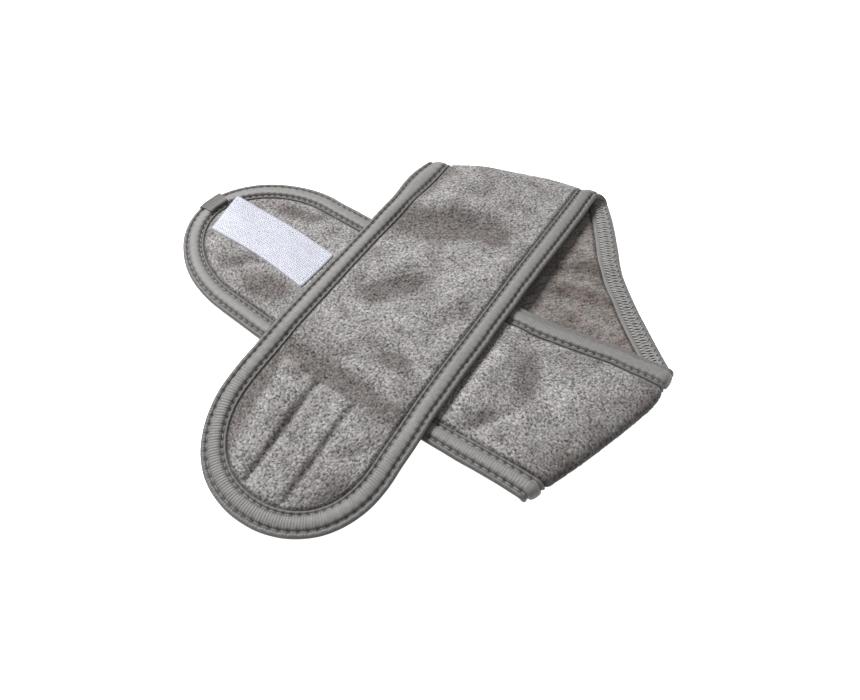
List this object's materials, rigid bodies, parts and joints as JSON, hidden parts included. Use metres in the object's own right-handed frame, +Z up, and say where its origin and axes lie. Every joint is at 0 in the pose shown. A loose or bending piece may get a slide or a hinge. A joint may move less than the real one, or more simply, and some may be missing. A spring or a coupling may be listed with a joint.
{
  "type": "spa headband",
  "caption": "Wrap-around towelling spa headband with bound edges, rounded tails and a hook-and-loop closure, laid folded in three.",
  "frame": {"origin": "centre of the folded headband's box, on the table it lies on", "axes": "+Z up from the table; +X along the folded bundle's longest side, towards the right fold; +Y towards the top fold"},
  "size_m": [0.2448, 0.2138, 0.0126],
  "materials": {
    "towelling": "nubby sheared microfibre pile, heathered mid grey",
    "binding": "smooth satin grey binding tape with fine cross ribs",
    "thread": "textured grey polyester sewing thread",
    "tape_thread": "white polyester sewing thread",
    "hook_tape": "white nylon hook tape, dense short hooks",
    "loop_tape": "white brushed loop tape"
  },
  "bodies": {
    "root": {"lower_run_binding_left": "binding", "lower_run_binding_right": "binding", "lower_run_cloth": "towelling", "lower_run_looper_threads": "thread", "lower_run_needle_threads": "thread", "middle_run_binding_left": "binding", "middle_run_binding_right": "binding", "middle_run_cloth": "towelling", "middle_run_looper_threads": "thread", "middle_run_needle_threads": "thread", "right_fold_binding_left": "binding", "right_fold_binding_right": "binding", "right_fold_cloth": "towelling", "right_fold_looper_threads": "thread", "right_fold_needle_threads": "thread", "top_fold_binding_left": "binding", "top_fold_binding_right": "binding", "top_fold_cloth": "towelling", "top_fold_looper_threads": "thread", "top_fold_needle_threads": "thread"},
    "front_run": {"front_run_binding_left": "binding", "front_run_binding_right": "binding", "front_run_cloth": "towelling", "front_run_looper_threads": "thread", "front_run_needle_threads": "thread"},
    "loop_tail": {"loop_tail_binding": "binding", "loop_tail_cloth": "towelling", "loop_tail_looper_thread": "thread", "loop_tail_needle_threads": "thread", "loop_tape": "loop_tape", "loop_tape_stitching": "thread"},
    "hook_tail": {"binding_join_tab": "binding", "hook_tail_binding": "binding", "hook_tail_cloth": "towelling", "hook_tail_looper_thread": "thread", "hook_tail_needle_threads": "thread", "hook_tape": "hook_tape", "hook_tape_stitching": "tape_thread"}
  },
  "joints": [
    {"name": "top_fold_opens", "type": "hinge", "parent": "root", "child": "front_run", "pos_m": [0.05309, 0.09559, 0.0063], "axis": [-0.9627, 0.2706, 0], "range_deg": [0, 150], "deforming": ["top_fold_binding_left", "top_fold_binding_right", "top_fold_cloth", "top_fold_looper_threads", "top_fold_needle_threads"]},
    {"name": "loop_tail_lifts", "type": "hinge", "parent": "front_run", "child": "loop_tail", "pos_m": [-0.03403, -0.04351, 0.0126], "axis": [-0.8406, 0.5417, 0], "range_deg": [0, 90]},
    {"name": "hook_tail_lifts", "type": "hinge", "parent": "root", "child": "hook_tail", "pos_m": [-0.04614, 0.02593, 0.0034], "axis": [0.5417, 0.8406, 0], "range_deg": [0, 90]}
  ]
}
